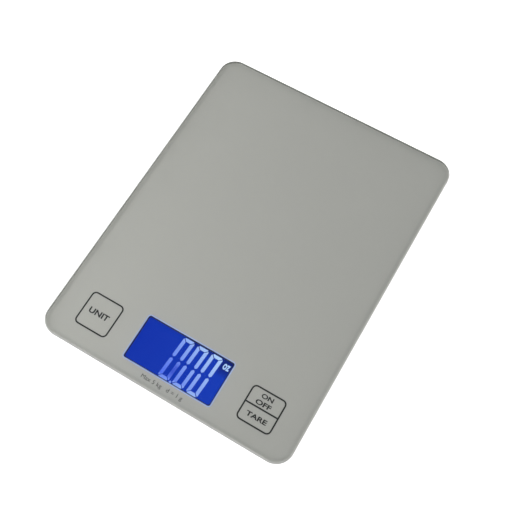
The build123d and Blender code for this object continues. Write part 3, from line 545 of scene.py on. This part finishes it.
def finish_piece(name, mesh, low, material):
    """A piece of the housing from a mesh that starts at z = low."""
    mesh.name = name
    mesh.transform(Matrix.Translation((0, 0, low)))
    work = bmesh.new()
    work.from_mesh(mesh)
    bmesh.ops.remove_doubles(work, verts=work.verts, dist=1e-7)
    bmesh.ops.recalc_face_normals(work, faces=work.faces)
    work.to_mesh(mesh)
    work.free()
    mesh.materials.clear()
    mesh.materials.append(material)
    piece = bpy.data.objects.new(name, mesh)
    scene.collection.objects.link(piece)
    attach(piece, "housing")
    return piece


def flat_piece(name, loops, low, high, material):
    """A thin plate between two heights. loops are outlines in millimetres; inner ones are holes."""
    curve = bpy.data.curves.new(name, "CURVE")
    curve.dimensions = "2D"
    curve.fill_mode = "BOTH"
    curve.extrude = (high - low) / 2
    for loop in loops:
        spline = curve.splines.new("POLY")
        spline.points.add(len(loop) - 1)
        spline.use_cyclic_u = True
        for point, (x, y) in zip(spline.points, loop):
            point.co = (x * MM, y * MM, 0, 1)
    mesh = mesh_of(bpy.data.objects.new(name, curve))
    return finish_piece(name, mesh, (low + high) / 2, material)


def text_piece(name, words, span_x, span_y, low, high, material, weight=0.0):
    """Plain lettering fitted to a box in millimetres."""
    curve = bpy.data.curves.new(name, "FONT")
    curve.body = words
    curve.extrude = 1.0
    curve.offset = weight
    mesh = mesh_of(bpy.data.objects.new(name, curve))
    xs = [vertex.co.x for vertex in mesh.vertices]
    ys = [vertex.co.y for vertex in mesh.vertices]
    scale_x = (span_x[1] - span_x[0]) * MM / (max(xs) - min(xs))
    scale_y = (span_y[1] - span_y[0]) * MM / (max(ys) - min(ys))
    for vertex in mesh.vertices:
        vertex.co.x = span_x[0] * MM + (vertex.co.x - min(xs)) * scale_x
        vertex.co.y = span_y[0] * MM + (vertex.co.y - min(ys)) * scale_y
        vertex.co.z *= (high - low) / 2
    return finish_piece(name, mesh, (low + high) / 2, material)


def glass_plate():
    """The platform again, with its ground edge apart from its clear faces."""
    rings = (
        (LOW_ARRIS, glass_low.z),
        (0.0, glass_low.z + LOW_ARRIS * MM),
        (0.0, glass_high.z - TOP_ARRIS * MM),
        (TOP_ARRIS, glass_high.z),
    )
    build = bmesh.new()
    loops = []
    for inset, height in rings:
        outline = rounded_rect(0, 0, glass_w - 2 * inset, glass_l - 2 * inset, GLASS_CORNER - inset, 24)
        loops.append([build.verts.new((x * MM, y * MM, height)) for x, y in outline])
    build.faces.new(reversed(loops[0]))
    build.faces.new(loops[-1])
    # lower arris and walls take the shaded copy, the top arris the painted highlight
    for lower, upper, material_index in zip(loops, loops[1:], (1, 1, 2)):
        for first in range(len(lower)):
            second = (first + 1) % len(lower)
            side = build.faces.new((lower[first], lower[second], upper[second], upper[first]))
            side.material_index = material_index
    mesh = bpy.data.meshes.new("glass_plate")
    build.to_mesh(mesh)
    build.free()
    mesh.materials.append(MATERIALS["platform_glass"])
    mesh.materials.append(GROUND_GREY_AND_PAINTED_SHADE)
    mesh.materials.append(ARRIS_PAINTED_HIGHLIGHT)
    piece = bpy.data.objects.new("glass_plate", mesh)
    scene.collection.objects.link(piece)
    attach(piece, "housing")
    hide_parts("glass_platform")


glass_plate()

# The lacquer reaches a hair into the glass, so that the two are in optical contact.
CONTACT = 0.03 * MM
print_top = glass_low.z + CONTACT
lacquer = flat_piece(
    "silver_lacquer",
    [
        rounded_rect(0, 0, glass_w - 2 * PRINT_EDGE, glass_l - 2 * PRINT_EDGE, PRINT_CORNER),
        rounded_rect(*WINDOW, WINDOW_CORNER),
    ],
    print_low.z,
    print_top,
    MATERIALS["silver_print"],
)
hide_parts("back_print")


SKIN = 0.03                # how far the border stands off the glass


def edge_lacquer():
    """The lacquer's outer border, which wraps the polished lower edge of the glass. It is darker than the
    face lacquer: painted shade for the dark edge of the glass.
    """
    rings = (
        (0.04, LOW_ARRIS + SKIN),
        (LOW_ARRIS + SKIN, SKIN),
        (LOW_ARRIS, -2 * SKIN),
        (-SKIN, LOW_ARRIS - SKIN),
    )
    build = bmesh.new()
    loops = []
    for inset, height in rings:
        outline = rounded_rect(0, 0, glass_w - 2 * inset, glass_l - 2 * inset, GLASS_CORNER - inset, 24)
        loops.append([build.verts.new((x * MM, y * MM, glass_low.z + height * MM)) for x, y in outline])
    for one, other in zip(loops, loops[1:] + loops[:1]):
        for first in range(len(one)):
            second = (first + 1) % len(one)
            build.faces.new((one[first], one[second], other[second], other[first]))
    mesh = bpy.data.meshes.new("lacquer_border")
    build.to_mesh(mesh)
    build.free()
    finish_piece("lacquer_border", mesh, 0.0, BORDER_PAINTED_SHADE)


edge_lacquer()

ink_low = print_top + 0.005 * MM
ink_high = ink_low + INK * MM
inner = KEY_SIZE - 2 * KEY_LINE
flat_piece(
    "unit_key_outline",
    [
        rounded_rect(*UNIT_KEY, KEY_SIZE, KEY_SIZE, KEY_CORNER),
        rounded_rect(*UNIT_KEY, inner, inner, KEY_CORNER - KEY_LINE),
    ],
    ink_low,
    ink_high,
    INK_BLACK,
)


def half_outline(side):
    """Inside outline of the upper (1) or lower (-1) half of the double key."""
    full = rounded_rect(*POWER_KEY, inner, inner, KEY_CORNER - KEY_LINE)
    edge = POWER_KEY[1] + side * KEY_LINE / 2
    left = POWER_KEY[0] - inner / 2
    right = POWER_KEY[0] + inner / 2
    if side > 0:
        upper = [point for point in full if point[1] > edge]
        return upper + [(left, edge), (right, edge)]
    lower = [point for point in full if point[1] < edge]
    return lower + [(right, edge), (left, edge)]


flat_piece(
    "power_key_outline",
    [rounded_rect(*POWER_KEY, KEY_SIZE, KEY_SIZE, KEY_CORNER), half_outline(1), half_outline(-1)],
    ink_low,
    ink_high,
    INK_BLACK,
)

LEGENDS = (
    ("unit_legend", "UNIT", (-66.2, -51.9), (-91.8, -87.9)),
    ("on_legend", "ON", (54.5, 62.5), (-84.0, -81.0)),
    ("off_legend", "OFF", (53.0, 63.4), (-88.7, -85.6)),
    ("tare_legend", "TARE", (51.6, 65.6), (-97.6, -94.5)),
)
for name, words, span_x, span_y in LEGENDS:
    text_piece(name, words, span_x, span_y, ink_low, ink_high, INK_BLACK, 0.03)
text_piece(
    "capacity_legend",
    "Max 5 kg   d = 1 g",
    (-14.7, 14.5),
    (-111.1, -107.6),
    ink_low,
    ink_high,
    INK_GREY,
)
flat_piece(
    "window_trim",
    [
        rounded_rect(WINDOW[0], WINDOW[1], WINDOW[2] + 1.4, WINDOW[3] + 1.4, WINDOW_CORNER + 0.7),
        rounded_rect(*WINDOW, WINDOW_CORNER),
    ],
    ink_low,
    ink_high,
    TRIM_PALE,
)

# ---- what the display shows ----
field_top = lcd_high.z
mask_low = field_top + 0.005 * MM
mask_high = mask_low + INK * MM
# a navy border round the display inside the window, wider at the left and the back: the display's own
# mask with a painted shadow of the window's edge
flat_piece(
    "lcd_mask",
    [
        rounded_rect(WINDOW[0], WINDOW[1], WINDOW[2] + 3, WINDOW[3] + 3, WINDOW_CORNER + 1.5),
        rounded_rect(WINDOW[0] + 0.1, WINDOW[1] - 0.1, WINDOW[2] - 1.5, WINDOW[3] - 1.5, WINDOW_CORNER),
    ],
    mask_low,
    mask_high,
    MASK_NAVY_AND_SHADOW,
)

GAP = 0.32                 # between segments
CUT = 0.75                 # outer corners of a digit
MIDDLE = DIGIT_H / 2
TIP = 0.95                 # taper where two uprights meet


def bar(at_top):
    """Top or bottom segment of a digit, as a plate with slanted ends."""
    outer = DIGIT_H if at_top else 0.0
    inward = -1 if at_top else 1
    return [
        (CUT + GAP, outer),
        (DIGIT_W - CUT - GAP, outer),
        (DIGIT_W - 0.4 - GAP, outer + inward * 0.55),
        (DIGIT_W - STROKE - GAP * 0.3, outer + inward * STROKE * 0.92),
        (STROKE + GAP * 0.3, outer + inward * STROKE * 0.92),
        (0.4 + GAP, outer + inward * 0.55),
    ]


def upright(right, upper):
    """One of the four upright segments, pointed where it meets its neighbour."""
    end = DIGIT_H if upper else 0.0
    inward = -1 if upper else 1
    near = MIDDLE - inward * (GAP + 0.1)
    shape = [
        (0.0, end + inward * (CUT + GAP + 0.1)),
        (0.28, end + inward * (0.5 + GAP)),
        (STROKE, end + inward * (STROKE + GAP)),
        (STROKE, near - inward * TIP),
        (STROKE * 0.5, near),
        (0.0, near - inward * TIP),
    ]
    return [(DIGIT_W - x if right else x, y) for x, y in shape]


def on_display(shape, left):
    """Slants a digit's shape and puts it in its place on the display."""
    lean = tan(radians(DIGIT_SLANT))
    return [(left + x + y * lean, DIGIT_BOTTOM + y) for x, y in shape]


segment_low = mask_high
segment_high = segment_low + INK * MM
for digit in range(3):
    left = DIGIT_LEFT + digit * DIGIT_PITCH
    shapes = [bar(True), bar(False)]
    shapes += [upright(right, upper) for right in (False, True) for upper in (False, True)]
    flat_piece(
        f"digit_{digit + 1}",
        [on_display(shape, left) for shape in shapes],
        segment_low,
        segment_high,
        SEGMENT,
    )
flat_piece(
    "decimal_point",
    [rounded_rect(2.35, -103.75, 1.5, 1.5, 0.6, 4)],
    segment_low,
    segment_high,
    SEGMENT,
)
text_piece(
    "ounce_mark",
    "oz",
    (25.0, 29.5),
    (-80.8, -76.9),
    segment_low,
    segment_high,
    SEGMENT,
    0.03,
)

# ---- floor, light and camera ----
FLOOR_SIZE = 3.0
floor_mesh = bpy.data.meshes.new("floor")
floor_build = bmesh.new()
bmesh.ops.create_grid(floor_build, x_segments=1, y_segments=1, size=FLOOR_SIZE)
floor_build.to_mesh(floor_mesh)
floor_build.free()
floor = bpy.data.objects.new("floor", floor_mesh)
floor.location.z = cad_low.z - 0.02 * MM
scene.collection.objects.link(floor)
floor_nodes = Nodes("floor_white")
floor_nodes.set(Base_Color=(0.93, 0.93, 0.93, 1), Roughness=0.9)
floor_nodes.set(Emission_Color=(1, 1, 1, 1), Emission_Strength=FLOOR_GLOW)
floor_mesh.materials.append(floor_nodes.material)

world = bpy.data.worlds.new("studio")
world.use_nodes = True
background = world.node_tree.nodes["Background"]
background.inputs["Color"].default_value = (1.0, 0.995, 0.985, 1)
direction = world.node_tree.nodes.new("ShaderNodeTexCoord")
upward = world.node_tree.nodes.new("ShaderNodeSeparateXYZ")
fade = world.node_tree.nodes.new("ShaderNodeMapRange")
fade.inputs["From Min"].default_value = 0.35
fade.inputs["From Max"].default_value = 0.75
fade.inputs["To Min"].default_value = SKY_LOW
fade.inputs["To Max"].default_value = SKY_HIGH
world.node_tree.links.new(direction.outputs["Generated"], upward.inputs["Vector"])
world.node_tree.links.new(upward.outputs["Z"], fade.inputs["Value"])
world.node_tree.links.new(fade.outputs["Result"], background.inputs["Strength"])
scene.world = world


def softbox(name, place, size, power):
    """A large square lamp aimed at the scale."""
    lamp = bpy.data.lights.new(name, "AREA")
    lamp.size = size
    lamp.energy = power
    holder = bpy.data.objects.new(name, lamp)
    holder.location = place
    holder.rotation_euler = (-Vector(place)).to_track_quat("-Z", "Y").to_euler()
    scene.collection.objects.link(holder)


softbox("key_light", (-1.5, -0.6, 1.5), 1.3, KEY_POWER)
softbox("fill_light", (1.5, 0.9, 1.5), 1.5, FILL_POWER)

CAMERA_AZIMUTH = radians(31.54)
CAMERA_ELEVATION = radians(67.49)
CAMERA_ROLL = radians(-1.075)
CAMERA_DISTANCE = 0.5504
CAMERA_TARGET = Vector((4.95 * MM, -6.8 * MM, glass_high.z - 0.9 * MM))
LENS = 60.78

towards = Vector((
    sin(CAMERA_AZIMUTH) * cos(CAMERA_ELEVATION),
    -cos(CAMERA_AZIMUTH) * cos(CAMERA_ELEVATION),
    sin(CAMERA_ELEVATION),
))
camera_data = bpy.data.cameras.new("camera")
camera_data.lens = LENS
camera_data.clip_start = 0.01
camera = bpy.data.objects.new("camera", camera_data)
level = towards.to_track_quat("Z", "Y").to_matrix().to_4x4()
eye = Matrix.Translation(CAMERA_TARGET + towards * CAMERA_DISTANCE)
camera.matrix_world = eye @ level @ Matrix.Rotation(CAMERA_ROLL, 4, "Z")
scene.collection.objects.link(camera)
scene.camera = camera

bpy.context.view_layer.update()
